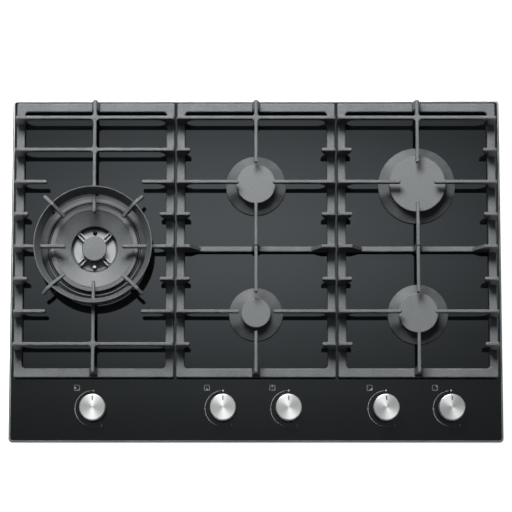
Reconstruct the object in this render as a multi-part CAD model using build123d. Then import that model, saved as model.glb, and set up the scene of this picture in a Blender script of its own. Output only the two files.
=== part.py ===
from build123d import *
import math
import os

# All sizes are millimetres. X runs across, Y to the rear, Z up.
# The origin is the middle of the burner box's underside.

# Driving dimensions of the whole cooktop.
WIDTH = 750.0
DEPTH = 530.0
GLASS_TOP = 64.0
GLASS_THICK = 6.0
GAP = 0.3

# Trim, gasket and burner box.
TRIM_FACE = 3.0
TRIM_CORNER = 6.0
TRIM_LIP = 0.4
TRIM_ROUND = 2.6
LEDGE_WIDTH = 9.0
LEDGE_THICK = 1.0
GASKET_THICK = 2.0
GASKET_WIDTH = 12.0
BOX_WIDTH = 712.0
BOX_DEPTH = 478.0
BOX_CORNER = 8.0
SHEET = 1.2

# Pan supports: a low frame with tall blades. Heights are above the glass.
SUPPORT_PITCH = 246.0
HALF_FRAME = 121.0
FRAME_REAR = 257.2
FRAME_FRONT = -167.4
SIDE_BAR = 12.3
REAR_BAR = 13.7
FRONT_BAR = 14.0
FRAME_LOW = 3.0
FRAME_HIGH = 13.0
FRAME_ROUND = 1.8
BLADE_FOOT = 5.0
BLADE_HIGH = 42.0
BLADE_LOW = 32.0
BLADE_THICK = 5.0
BLADE_ROUND = 1.4
BLADE_BASE = 13.0
BLADE_BEVEL = 2.0
FLARE_HIGH = 36.0
BEAM_FLARE_HIGH = 34.0
ARCH_REACH = 15.0
STUB_LENGTH = 21.0
STUB_TIP = 11.0
BEAM_WIDTH = 8.4
BEAM_RAMP = 37.0
ROW_FIRST = 228.9
ROW_PITCH = 49.8
ROW_COUNT = 8
ROWS = [ROW_FIRST - ROW_PITCH * i for i in range(ROW_COUNT)]
CROSSING_ROUND = 4.0
CROSSING_DROP = 0.3
FINGER_TIP = 26.0
TIP_GAP = 30.0
FRONT_SETBACK = 3.5
WOK_CENTRE_TIP = 52.5
WOK_SIDE_TIP = 43.0
WOK_CORNER_TIP = 72.0
FOOT_RADIUS = 4.5
FOOT_STEM = 2.4
FOOT_STEM_LENGTH = 3.8

# Burners: place, cap radius and skirt radius.
REAR_BURNER_Y = ROWS[2]
FRONT_BURNER_Y = ROWS[6]
WOK_PLACE = (-246.4, ROWS[4])
BURNERS = {
    "rapid": (246.4, REAR_BURNER_Y, 43.5, 59.0),
    "semi_rapid_rear": (0.0, REAR_BURNER_Y, 30.3, 46.0),
    "semi_rapid_front": (246.4, FRONT_BURNER_Y, 30.3, 46.0),
    "auxiliary": (0.0, FRONT_BURNER_Y, 22.5, 41.0),
}
# Which valve, counted from 0, feeds each round burner.
BURNER_VALVES = {"semi_rapid_rear": 1, "auxiliary": 2, "rapid": 3, "semi_rapid_front": 4}
PORT_INSET = 3.0
PORT_WALL = 6.0
NECK_OUTSET = 8.5
PROBE_INSET = 0.5
PROBE_ANGLE = 22.0
PROBE_TOP = 14.0
JET_HOLE = 2.9
BOSS_RADIUS = 5.5
CUP_WALL = 2.0
CUP_LOW = 24.0
CAP_HIGH = 21.8
CROWN_HIGH = 16.5
ELECTRODE_RADIUS = 2.6
THERMOCOUPLE_RADIUS = 1.6

# Wok burner radii and the loose wok ring.
WOK_NECK = 64.0
WOK_FLANGE = 80.0
WOK_SKIRT = 84.0
WOK_PROBE = 27.0
WOK_SEAT = 54.4
WOK_BRANCH = 30.0
WOK_OUTER_JET = 44.0
WOK_PORT_SLOTS = 54
WOK_INNER_SLOTS = 18
WOK_FLOOR = -1.0
WOK_FLOOR_LOW = -3.0
RING_HIGH = 60.5
RING_LOW = 38.0
ARM_INNER = 62.0
ARM_OUTER = 106.0
ARM_CREST = 86.0

# Knobs, spindles and gas valves.
KNOB_XS = [-247.0, -50.0, 49.5, 197.0, 296.0]
KNOB_Y = -213.0
KNOB_RADIUS = 20.0
KNOB_LOW = 4.4
KNOB_HIGH = 22.0
POINTER_HALF = 0.75
POINTER_NEAR = 11.2
POINTER_FAR = 16.4
POINTER_DEEP = 0.6
SPINDLE_RADIUS = 3.0
SHAFT_FIT = 0.05
SPINDLE_HOLE = 7.0
VALVE_RADIUS = 12.0
VALVE_LOW = 22.0
VALVE_HIGH = 50.0
MAGNET_Z = 37.0
MAGNET_END = 25.0
# The side of each valve on which its magnet unit lies.
MAGNET_SIDES = [1, -1, 1, 1, 1]
PIPE_Z = 34.0
PIPE_RADIUS = 3.0
PIPE_BORE = 2.0
PIPE_BEND = 6.0
OUTLET_REACH = 15.0
RAIL_Z = 13.5
RAIL_RADIUS = 8.0
RAIL_BORE = 6.5
INLET_X = 338.0
INLET_RADIUS = 10.48
INLET_END = 258.0

# Bridges that carry the cups, ignition module and leads.
BRIDGE_HALF = 17.0
BRIDGE_FRONT = -185.0
BRIDGE_REAR = 218.0
BRIDGE_FOOT = 12.0
BRIDGE_SCREW = 7.0
MODULE_X = 130.0
MODULE_Y = 40.0
LEAD_Z = 6.0
LEAD_RADIUS = 1.25
LEAD_BEND = 3.4
LEAD_PITCH = 9.0
LEAD_COUNT = 5
THERMO_LEAD_Z = 11.0
THERMO_LEAD_RADIUS = 0.9
PANEL_HOLE_X = 300.0
PANEL_HOLE_Y = 150.0
PANEL_HOLE_RADIUS = 2.1
SCREW_HOLE = 2.0
MODULE_EAR = 34.0
MODULE_SOCKET = 37.0
RIB_WIDTH = 600.0
RIB_DEPTH = 14.0
RIB_HIGH = 1.2
RIB_YS = (-120.0, -20.0, 100.0)
GLAND_X = -332.0
GLAND_Z = 30.0
GLAND_RADIUS = 7.9
GLAND_BORE = 3.6

# Hold-down clamps on the front and rear wall.
CLAMP_XS = (-250.0, 150.0)
CLAMP_HALF = 10.0
CLAMP_THICK = 2.0
CLAMP_REACH = 15.0
CLAMP_SCREW_Z = 16.0
CLAMP_LOW = 6.0
CLAMP_HIGH = 26.0


def block(x0, x1, y0, y1, z0, z1):
    """A box between two corners."""
    middle = Pos((x0 + x1) / 2, (y0 + y1) / 2, (z0 + z1) / 2)
    return middle * Box(x1 - x0, y1 - y0, z1 - z0)


def rounded_slab(width, depth, corner, z0, z1):
    """An upright slab with round corners, centred on the origin."""
    return Pos(0, 0, z0) * extrude(RectangleRounded(width, depth, corner), z1 - z0)


def rod(x, y, radius, z0, z1):
    """An upright round bar."""
    return Pos(x, y, (z0 + z1) / 2) * Cylinder(radius, z1 - z0)


def lying_rod(start, end, radius):
    """A round bar between two points."""
    span = Vector(*end) - Vector(*start)
    base = Plane(origin=start, z_dir=span)
    return extrude(base * Circle(radius), span.length)


def turned(outline, place=(0.0, 0.0), base=0.0):
    """A turned solid from its outline, given as (radius, height) corners."""
    corners = [(radius, 0, height) for radius, height in outline]
    face = make_face(Polyline(corners, close=True))
    return Pos(place[0], place[1], base) * revolve(face, Axis.Z)


def tube(points, radius, bend, bore=0.0):
    """A pipe or lead along straight runs joined by arcs."""
    path = FilletPolyline(*points, radius=bend)
    section = Plane(origin=path @ 0, z_dir=path % 0) * Circle(radius)
    if bore:
        section -= Plane(origin=path @ 0, z_dir=path % 0) * Circle(bore)
    return sweep(section, path=path)


def around(place, radius, degrees):
    """A point on a circle round a place."""
    angle = math.radians(degrees)
    return place[0] + radius * math.cos(angle), place[1] + radius * math.sin(angle)


def ring_slots(place, inner, outer, width, low, high, count):
    """Radial slots through a ring wall."""
    cutter = block(inner, outer, -width / 2, width / 2, low, high)
    return [Pos(*place, 0) * Rot(0, 0, 360 * i / count) * cutter for i in range(count)]


# --- Pan supports -----------------------------------------------------------------


def standing(edges, thick):
    """A plate standing on the XZ plane, from edges drawn in x and height."""
    return Rot(90, 0, 0) * extrude(make_face(edges), thick / 2, both=True)


def soften(plate, tip_x=None):
    """Rounds a blade's free tip in plan, then all round its top face."""
    if tip_x is not None:
        uprights = plate.edges().filter_by(Axis.Z)
        tip = [e for e in uprights if abs(e.center().X - tip_x) < 0.01]
        plate = fillet(tip, BLADE_THICK / 2 - 0.3)
    top = plate.faces().sort_by(Axis.Z)[-1]
    return fillet(top.edges(), BLADE_ROUND)


def finger(length, bar, free=True):
    """A blade from a bar's outer edge, at x = 0, with an arched underside."""
    foot = BLADE_FOOT
    arch_high = BLADE_LOW - foot
    arch_x = bar + 1.5
    edges = [
        Line((0, foot), (0, BLADE_HIGH - BLADE_BEVEL)),
        Line((0, BLADE_HIGH - BLADE_BEVEL), (BLADE_BEVEL, BLADE_HIGH)),
        Line((BLADE_BEVEL, BLADE_HIGH), (length, BLADE_HIGH)),
        Line((length, BLADE_HIGH), (length, BLADE_LOW)),
        Line((length, BLADE_LOW), (arch_x + ARCH_REACH, BLADE_LOW)),
        EllipticalCenterArc((arch_x + ARCH_REACH, foot), ARCH_REACH, arch_high, 90, arc_size=90),
        Line((arch_x, foot), (0, foot)),
    ]
    return soften(standing(edges, BLADE_THICK), length if free else None)


def stub():
    """A short blade whose underside slopes back to the bar."""
    foot = BLADE_FOOT
    edges = Polyline(
        (0, foot),
        (0, BLADE_HIGH - BLADE_BEVEL),
        (BLADE_BEVEL, BLADE_HIGH),
        (STUB_LENGTH, BLADE_HIGH),
        (STUB_LENGTH, BLADE_HIGH - STUB_TIP),
        (SIDE_BAR + 2.0, foot + 3.0),
        (SIDE_BAR + 1.0, foot),
        close=True,
    )
    return soften(standing(edges, BLADE_THICK), STUB_LENGTH)


def ramp():
    """A short blade that slopes down onto the low cross beam."""
    foot = BLADE_FOOT
    edges = Polyline(
        (0, foot),
        (0, BLADE_HIGH - BLADE_BEVEL),
        (BLADE_BEVEL, BLADE_HIGH),
        (STUB_LENGTH, BLADE_HIGH),
        (BEAM_RAMP, FRAME_HIGH - 0.5),
        (BEAM_RAMP, foot),
        close=True,
    )
    return soften(standing(edges, BLADE_THICK))


def flare(bar, high):
    """The drafted root of a blade where it lands on a bar."""
    half_low = BLADE_BASE / 2
    half_high = BLADE_THICK / 2
    low = FRAME_HIGH - 1.0
    section = Polyline(
        (-half_low, low), (half_low, low), (half_high, high), (-half_high, high), close=True
    )
    return extrude(Plane.YZ * make_face(section), bar)


def on_bar(piece, side, y):
    """Places a piece drawn from x = 0 inward on a side bar of a frame."""
    turn = 0 if side < 0 else 180
    return Pos(side * HALF_FRAME, y, 0) * Rot(0, 0, turn) * piece


def from_rear(piece):
    """Places a piece drawn from x = 0 inward on the rear bar's outer edge."""
    return Pos(0, FRAME_REAR, 0) * Rot(0, 0, -90) * piece


def from_front(piece):
    """Places a piece drawn from x = 0 inward on the front bar."""
    return Pos(0, FRAME_FRONT + FRONT_SETBACK, 0) * Rot(0, 0, 90) * piece


def crossing(x, y):
    """The fillets in the four corners where two blades cross."""
    reach = BLADE_THICK / 2 + CROSSING_ROUND
    star = Rectangle(2 * reach, 2 * reach)
    for dx in (-reach, reach):
        for dy in (-reach, reach):
            star -= Pos(dx, dy) * Circle(CROSSING_ROUND)
    depth = BLADE_HIGH - CROSSING_DROP - BLADE_LOW
    return Pos(x, y, BLADE_LOW) * extrude(star, depth)


def frame_casting():
    """The low frame of a pan support, centred on x = 0."""
    depth = FRAME_REAR - FRAME_FRONT
    outer = Pos(0, FRAME_FRONT + depth / 2) * RectangleRounded(2 * HALF_FRAME, depth, 2.5)
    inner_depth = depth - REAR_BAR - FRONT_BAR
    inner_width = 2 * (HALF_FRAME - SIDE_BAR)
    hole = Pos(0, FRAME_FRONT + FRONT_BAR + inner_depth / 2)
    outline = outer - hole * RectangleRounded(inner_width, inner_depth, 5.0)
    casting = Pos(0, 0, FRAME_LOW) * extrude(outline, FRAME_HIGH - FRAME_LOW)
    return fillet(casting.faces().sort_by(Axis.Z)[-1].edges(), FRAME_ROUND)


def foot_places():
    """Where the rubber feet sit, relative to a pan support's centre line."""
    x = HALF_FRAME - SIDE_BAR / 2
    ys = (FRAME_FRONT + FRONT_BAR / 2 + 1, ROWS[3] - 25, FRAME_REAR - REAR_BAR / 2 - 1)
    return [(side * x, y) for side in (-1, 1) for y in ys]


def end_blades(rear_tip, front_tip):
    """The two blades along the middle of a support, from its rear and front bars."""
    front_bar = FRONT_BAR - FRONT_SETBACK
    return [
        from_rear(finger(FRAME_REAR - rear_tip, REAR_BAR)),
        from_rear(flare(REAR_BAR, FLARE_HIGH)),
        from_front(finger(front_tip - FRAME_FRONT - FRONT_SETBACK, front_bar)),
        from_front(flare(front_bar, FLARE_HIGH)),
    ]


def beam_blades():
    """The two blades along the middle of a support, from its low cross beam."""
    y = ROWS[4]
    to_rear = finger(REAR_BURNER_Y - TIP_GAP - y, BEAM_WIDTH / 2)
    to_front = finger(y - FRONT_BURNER_Y - TIP_GAP + 1, BEAM_WIDTH / 2)
    root = flare(BEAM_WIDTH, BEAM_FLARE_HIGH)
    return [
        Pos(0, y, 0) * Rot(0, 0, 90) * to_rear,
        Pos(0, y, 0) * Rot(0, 0, -90) * to_front,
        Pos(0, y - BEAM_WIDTH / 2, 0) * Rot(0, 0, 90) * root,
    ]


def side_blades(lengths, ramp_row=None):
    """The blades on both side bars; a length of None means a blade right across."""
    blades = []
    for row, length in lengths.items():
        for side in (-1, 1):
            if row == ramp_row:
                piece = ramp()
            elif length is None:
                piece = finger(HALF_FRAME + 1, SIDE_BAR, free=False)
            elif length == STUB_LENGTH:
                piece = stub()
            else:
                piece = finger(length, SIDE_BAR)
            blades.append(on_bar(piece, side, ROWS[row]))
            blades.append(on_bar(flare(SIDE_BAR, FLARE_HIGH), side, ROWS[row]))
    return blades


def foot_holes():
    """The blind holes that hold the rubber feet."""
    radius = FOOT_STEM + 0.1
    top = FRAME_LOW + FOOT_STEM_LENGTH + 0.2
    return [rod(x, y, radius, FRAME_LOW - 1, top) for x, y in foot_places()]


def round_burner_support():
    """The pan support over one rear and one front burner, centred on x = 0."""
    long_finger = HALF_FRAME - FINGER_TIP
    lengths = dict.fromkeys((1, 3, 4, 5, 7), STUB_LENGTH)
    lengths.update({0: None, 2: long_finger, 6: long_finger})
    half = HALF_FRAME - SIDE_BAR + 1
    beam = block(
        -half, half, ROWS[4] - BEAM_WIDTH / 2, ROWS[4] + BEAM_WIDTH / 2, FRAME_LOW, FRAME_HIGH - 0.5
    )
    beam = fillet(beam.faces().sort_by(Axis.Z)[-1].edges().filter_by(Axis.X), FRAME_ROUND)
    pieces = [beam, crossing(0, ROWS[0])]
    pieces += end_blades(REAR_BURNER_Y + TIP_GAP, FRONT_BURNER_Y - TIP_GAP)
    pieces += beam_blades()
    pieces += side_blades(lengths, ramp_row=4)
    return frame_casting() + pieces - foot_holes()


def wok_support():
    """The pan support over the wok burner, centred on x = 0."""
    wok_y = WOK_PLACE[1]
    lengths = {0: None, 1: None, 7: None}
    lengths.update(dict.fromkeys((2, 6), HALF_FRAME - WOK_CORNER_TIP))
    lengths.update(dict.fromkeys((3, 5), STUB_LENGTH))
    lengths[4] = HALF_FRAME - WOK_SIDE_TIP
    pieces = end_blades(wok_y + WOK_CENTRE_TIP, wok_y - WOK_CENTRE_TIP)
    pieces += [crossing(0, ROWS[row]) for row in (0, 1, 7)]
    pieces += side_blades(lengths)
    return frame_casting() + pieces - foot_holes()


def rubber_feet():
    """The rubber feet of one pan support, each with a stem in the frame."""
    feet = []
    for x, y in foot_places():
        outline = [
            (0, GAP),
            (FOOT_RADIUS - 0.6, GAP),
            (FOOT_RADIUS, GAP + 0.8),
            (FOOT_RADIUS, FRAME_LOW),
            (FOOT_STEM, FRAME_LOW),
            (FOOT_STEM, FRAME_LOW + FOOT_STEM_LENGTH),
            (0, FRAME_LOW + FOOT_STEM_LENGTH),
        ]
        feet.append(turned(outline, (x, y)))
    return feet


def wok_ring():
    """The loose ring for round-bottomed pans, notched over the support's fingers."""
    band = turned(
        [
            (80.5, RING_LOW),
            (83.5, RING_LOW),
            (84.5, RING_LOW + 4),
            (89.6, RING_HIGH - 1.2),
            (89.2, RING_HIGH),
            (88.2, RING_HIGH),
            (80.5, RING_LOW + 5),
        ]
    )
    outline = Polyline(
        (ARM_INNER, 40.0),
        (ARM_INNER, 44.0),
        (ARM_INNER + 2.0, 46.0),
        (ARM_CREST, RING_HIGH),
        (ARM_OUTER - 10.0, RING_HIGH),
        (ARM_OUTER, RING_HIGH - 8.0),
        (ARM_OUTER, 45.0),
        (ARM_OUTER - 6.0, 44.0),
        (ARM_OUTER - 7.5, 50.0),
        (91.0, 51.0),
        (84.0, 42.0),
        (78.0, 40.0),
        close=True,
    )
    arm = standing(outline, BLADE_THICK)
    arm = chamfer(arm.edges().filter_by(Axis.Y, reverse=True), 0.8)
    arms = [Rot(0, 0, 45 + 90 * i) * arm for i in range(4)]
    notch = block(75, 95, -3.6, 3.6, RING_LOW - 1, BLADE_HIGH + GAP)
    return band + arms - [Rot(0, 0, 90 * i) * notch for i in range(4)]


# --- Burners ----------------------------------------------------------------------


def probe_sides(name):
    """The angles of a burner's electrode and thermocouple, away from its gas inlet."""
    middle = 0.0 if name in ("rapid", "semi_rapid_rear") else 180.0
    return middle - PROBE_ANGLE, middle + PROBE_ANGLE


def probe_places(name):
    """Where a round burner's electrode and thermocouple stand."""
    x, y, cap, _ = BURNERS[name]
    reach = cap - PORT_INSET - PROBE_INSET
    return [around((x, y), reach, angle) for angle in probe_sides(name)]


def wok_probe_places():
    """Where the wok burner's electrode and thermocouple stand."""
    return [around(WOK_PLACE, WOK_PROBE, angle) for angle in (-90.0, 90.0)]


def cup(name):
    """The pot under a round burner, with its flange on the glass."""
    x, y, cap, skirt = BURNERS[name]
    port = cap - PORT_INSET
    neck = port + NECK_OUTSET
    seat = port - PORT_WALL - 0.6
    top = GLASS_TOP
    body = turned(
        [
            (0, CUP_LOW),
            (neck, CUP_LOW),
            (neck, top),
            (skirt - 4, top),
            (skirt - 4, top + 0.9),
            (skirt - 4.5, top + 1.2),
            (neck - CUP_WALL, top + 1.2),
            (neck - CUP_WALL, CUP_LOW + CUP_WALL),
            (seat + CUP_WALL, CUP_LOW + CUP_WALL),
            (seat + CUP_WALL, top + 1.2),
            (seat, top + 1.2),
            (seat, CUP_LOW + CUP_WALL),
            (6, CUP_LOW + CUP_WALL),
            (6, CUP_LOW + 6),
            (0, CUP_LOW + 6),
        ],
        (x, y),
    )
    turn = probe_sides(name)[0] + PROBE_ANGLE + 180
    start = around((x, y), neck - 1, turn)
    end = around((x, y), neck + 6, turn)
    bored = around((x, y), neck + 2, turn)
    body += lying_rod((*start, PIPE_Z), (*end, PIPE_Z), BOSS_RADIUS)
    body -= lying_rod((*bored, PIPE_Z), (*end, PIPE_Z), PIPE_RADIUS)
    body -= rod(x, y, JET_HOLE, CUP_LOW - 1, CUP_LOW + 7)
    for px, py in probe_places(name):
        body -= rod(px, py, ELECTRODE_RADIUS, CUP_LOW - 1, CUP_LOW + 7)
    return body


def wok_cup():
    """The pot under the wok burner."""
    top = GLASS_TOP
    body = turned(
        [
            (0, CUP_LOW),
            (WOK_NECK, CUP_LOW),
            (WOK_NECK, top),
            (WOK_FLANGE, top),
            (WOK_FLANGE, top + 0.9),
            (WOK_FLANGE - 0.5, top + 1.2),
            (WOK_NECK - CUP_WALL, top + 1.2),
            (WOK_NECK - CUP_WALL, CUP_LOW + CUP_WALL),
            (WOK_SEAT + CUP_WALL, CUP_LOW + CUP_WALL),
            (WOK_SEAT + CUP_WALL, top + 1.2),
            (WOK_SEAT, top + 1.2),
            (WOK_SEAT, CUP_LOW + CUP_WALL),
            (6, CUP_LOW + CUP_WALL),
            (6, CUP_LOW + 6),
            (0, CUP_LOW + 6),
        ],
        WOK_PLACE,
    )
    x, y = WOK_PLACE
    outer_jet = around(WOK_PLACE, WOK_OUTER_JET, 0)
    body += rod(*outer_jet, 6, CUP_LOW + 1, CUP_LOW + 6)
    for dx in (0.0, WOK_BRANCH):
        reach = math.sqrt(WOK_NECK**2 - dx**2)
        low = y - reach - 10
        body += lying_rod((x + dx, y - reach + 3, PIPE_Z), (x + dx, low, PIPE_Z), BOSS_RADIUS)
        body -= lying_rod((x + dx, y - reach - 3, PIPE_Z), (x + dx, low, PIPE_Z), PIPE_RADIUS)
    for jet in (WOK_PLACE, outer_jet):
        body -= rod(*jet, JET_HOLE, CUP_LOW - 1, CUP_LOW + 7)
    for px, py in wok_probe_places():
        body -= rod(px, py, ELECTRODE_RADIUS, CUP_LOW - 1, CUP_LOW + 7)
    return body


def crown(name):
    """The lift-off crown of a round burner: conical skirt, flame ports, spigot."""
    x, y, cap, skirt = BURNERS[name]
    port = cap - PORT_INSET
    inner = port - PORT_WALL
    body = turned(
        [
            (inner, CROWN_HIGH),
            (inner, 9.5),
            (8, 9.5),
            (8, 7.0),
            (inner - 3.4, 7.0),
            (inner - 3.4, -5),
            (inner - 1.0, -5),
            (inner - 1.0, 2.0),
            (skirt - 0.6, 2.0),
            (skirt, 2.4),
            (skirt, 3.0),
            (skirt - 0.8, 3.8),
            (port + 2.5, 10.3),
            (port, 11.0),
            (port, CROWN_HIGH),
        ],
        (x, y),
        GLASS_TOP,
    )
    high = GLASS_TOP
    count = 2 * round(port * 0.42)
    slots = ring_slots((x, y), inner - 1, port + 1, 1.8, high + 12.2, high + 15.2, count)
    holes = [
        rod(px, py, ELECTRODE_RADIUS + 0.8, high - 1, high + 20) for px, py in probe_places(name)
    ]
    return body - slots - holes


def cap_plate(name):
    """The flat lift-off cap of a round burner."""
    x, y, cap, _ = BURNERS[name]
    inner = cap - PORT_INSET - PORT_WALL
    under = CROWN_HIGH + GAP
    return turned(
        [
            (0, under + 1.4),
            (inner - 2.6, under + 1.4),
            (inner - 2.6, 14),
            (inner - 0.5, 14),
            (inner - 0.5, under),
            (cap - 0.8, under),
            (cap, under + 0.8),
            (cap, CAP_HIGH - 1.3),
            (cap - 0.35, CAP_HIGH - 0.45),
            (cap - 1.2, CAP_HIGH),
            (0, CAP_HIGH),
        ],
        (x, y),
        GLASS_TOP,
    )


def wok_crown():
    """The wok burner's lift-off crown: outer port ring, bright middle and inner crown."""
    body = turned(
        [
            (8, WOK_FLOOR_LOW),
            (8, WOK_FLOOR),
            (12, WOK_FLOOR),
            (12, 12),
            (16.5, 12),
            (16.5, WOK_FLOOR),
            (38, WOK_FLOOR),
            (38, 8.2),
            (41, 8.2),
            (41, 4),
            (58, 4),
            (58, CROWN_HIGH),
            (64.5, CROWN_HIGH),
            (64.5, 11),
            (68.3, 11),
            (68.3, 15.6),
            (69.5, 15.6),
            (69.5, 11),
            (71.0, 11),
            (71.0, 16.6),
            (73.0, 16.6),
            (73.6, 15.8),
            (WOK_SKIRT - 0.8, 4.2),
            (WOK_SKIRT, 3.4),
            (WOK_SKIRT, 2.4),
            (WOK_SKIRT - 0.6, 2),
            (WOK_SEAT - 0.4, 2),
            (WOK_SEAT - 0.4, -5),
            (WOK_SEAT - 2.8, -5),
            (WOK_SEAT - 2.8, 2),
            (41, 2),
            (41, WOK_FLOOR_LOW),
        ],
        WOK_PLACE,
        GLASS_TOP,
    )
    high = GLASS_TOP
    post = block(15.5, 39, -3.5, 3.5, high + WOK_FLOOR - 1, high + 7.9)
    post -= block(21, 33, -1.7, 1.7, high + 2, high + 9)
    body += [Pos(*WOK_PLACE, 0) * Rot(0, 0, 45 + 90 * i) * post for i in range(4)]
    body -= ring_slots(WOK_PLACE, 57, 65.5, 2.0, high + 12.4, high + 15.4, WOK_PORT_SLOTS)
    body -= ring_slots(WOK_PLACE, 11, 17.5, 1.6, high + 8.4, high + 10.8, WOK_INNER_SLOTS)
    low = high + WOK_FLOOR_LOW - 1
    body -= [rod(px, py, ELECTRODE_RADIUS + 0.9, low, high + 9) for px, py in wok_probe_places()]
    return body


def wok_cap_ring():
    """The wok burner's ring-shaped cap with a dished top."""
    under = CROWN_HIGH + GAP
    return turned(
        [
            (35.5, 8.8),
            (35.5, 9.8),
            (36.2, 10.4),
            (58.3, 20.9),
            (58.9, 21.8),
            (60.0, 22.0),
            (61.2, 21.4),
            (65.8, 21.0),
            (66.8, 20.2),
            (67.0, 19.4),
            (67.0, under + 0.6),
            (66.4, under),
            (57.4, under),
            (57.4, 14.4),
            (55.4, 14.4),
            (55.4, 17.6),
            (37.6, 9.1),
            (36.8, 8.8),
        ],
        WOK_PLACE,
        GLASS_TOP,
    )


def wok_centre_cap():
    """The small cap in the middle of the wok burner."""
    return turned(
        [
            (0, 13.6),
            (9.6, 13.6),
            (9.6, 10.4),
            (11.4, 10.4),
            (11.4, 12.3),
            (18.3, 12.3),
            (19.0, 13.0),
            (19.0, 15.2),
            (18.6, 16.1),
            (17.6, 16.6),
            (0, 16.9),
        ],
        WOK_PLACE,
        GLASS_TOP,
    )


def injector(x, y):
    """A hexagonal brass gas jet standing in a cup."""
    head = Pos(x, y, CUP_LOW + 6) * extrude(RegularPolygon(4.0, 6), 5)
    nose = rod(x, y, 2.2, CUP_LOW + 11, CUP_LOW + 13)
    body = head + nose + rod(x, y, 2.85, CUP_LOW + 0.5, CUP_LOW + 6)
    return body - rod(x, y, 0.5, CUP_LOW, CUP_LOW + 14)


def injectors():
    places = [(x, y) for x, y, _, _ in BURNERS.values()]
    places += [WOK_PLACE, around(WOK_PLACE, WOK_OUTER_JET, 0)]
    return [injector(x, y) for x, y in places]


def electrode(x, y, top):
    """A ceramic ignition electrode with its steel pin."""
    low = CUP_LOW - 4.0
    outline = [
        (0, low),
        (1.8, low),
        (1.8, low + 3),
        (ELECTRODE_RADIUS - 0.05, low + 3.2),
        (ELECTRODE_RADIUS - 0.05, GLASS_TOP + top - 4.5),
        (2.0, GLASS_TOP + top - 3.6),
        (0.8, GLASS_TOP + top - 3.6),
        (0.8, GLASS_TOP + top),
        (0, GLASS_TOP + top),
    ]
    return turned(outline, (x, y))


def electrodes():
    made = [electrode(*probe_places(name)[0], PROBE_TOP) for name in BURNERS]
    made.append(electrode(*wok_probe_places()[0], 11.5))
    return made


# --- Glass, trim, box -------------------------------------------------------------


def glass_top():
    """The glass with its burner and spindle holes."""
    low = GLASS_TOP - GLASS_THICK
    width = WIDTH - 2 * TRIM_FACE - 0.2
    depth = DEPTH - 2 * TRIM_FACE - 0.2
    glass = rounded_slab(width, depth, TRIM_CORNER - 2, low, GLASS_TOP)
    glass = fillet(glass.faces().sort_by(Axis.Z)[-1].edges(), 0.6)
    holes = [rod(x, KNOB_Y, SPINDLE_HOLE, low - 1, GLASS_TOP + 1) for x in KNOB_XS]
    holes.append(rod(*WOK_PLACE, WOK_NECK + 0.5, low - 1, GLASS_TOP + 1))
    for x, y, cap, _ in BURNERS.values():
        holes.append(rod(x, y, cap - PORT_INSET + NECK_OUTSET + 0.5, low - 1, GLASS_TOP + 1))
    return glass - holes


def trim_frame():
    """The thin metal trim with a ledge under the glass."""
    ledge_low = GLASS_TOP - GLASS_THICK - LEDGE_THICK
    top = GLASS_TOP + TRIM_LIP
    body = rounded_slab(WIDTH, DEPTH, TRIM_CORNER, ledge_low, top)
    body = fillet(body.faces().sort_by(Axis.Z)[-1].edges(), TRIM_ROUND)
    glass_room = rounded_slab(
        WIDTH - 2 * TRIM_FACE, DEPTH - 2 * TRIM_FACE, TRIM_CORNER - 2, ledge_low + LEDGE_THICK, top + 1
    )
    opening = rounded_slab(
        WIDTH - 2 * LEDGE_WIDTH, DEPTH - 2 * LEDGE_WIDTH, 3, ledge_low - 1, top + 1
    )
    return body - glass_room - opening


def worktop_gasket():
    """The soft seal between the cooktop and the worktop."""
    high = GLASS_TOP - GLASS_THICK - LEDGE_THICK
    outer = rounded_slab(WIDTH - 4, DEPTH - 4, TRIM_CORNER - 2, high - GASKET_THICK, high)
    width = WIDTH - 4 - 2 * GASKET_WIDTH
    depth = DEPTH - 4 - 2 * GASKET_WIDTH
    return outer - rounded_slab(width, depth, 3, high - GASKET_THICK - 1, high + 1)


def vent_slots():
    """Round-ended air slots in the floor and the rear wall."""
    floor_slot = extrude(SlotOverall(44, 5), 10)
    slots = []
    for x in (-120, 60, 190):
        for i in range(6):
            slots.append(Pos(x, 165 + 10 * i, -4) * floor_slot)
    for i in range(8):
        x = -150 + 40 * i
        wall_slot = Pos(x, BOX_DEPTH / 2 - 3, 40) * Rot(90, 0, 0) * extrude(SlotOverall(30, 4), -8)
        slots.append(wall_slot)
    return slots


def floor_ribs(width, depth, low, high):
    """Long round-ended strips across the box floor, for its pressed ribs."""
    strip = extrude(SlotOverall(width, depth), high - low)
    return [Pos(0, y, low) * strip for y in RIB_YS]


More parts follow.
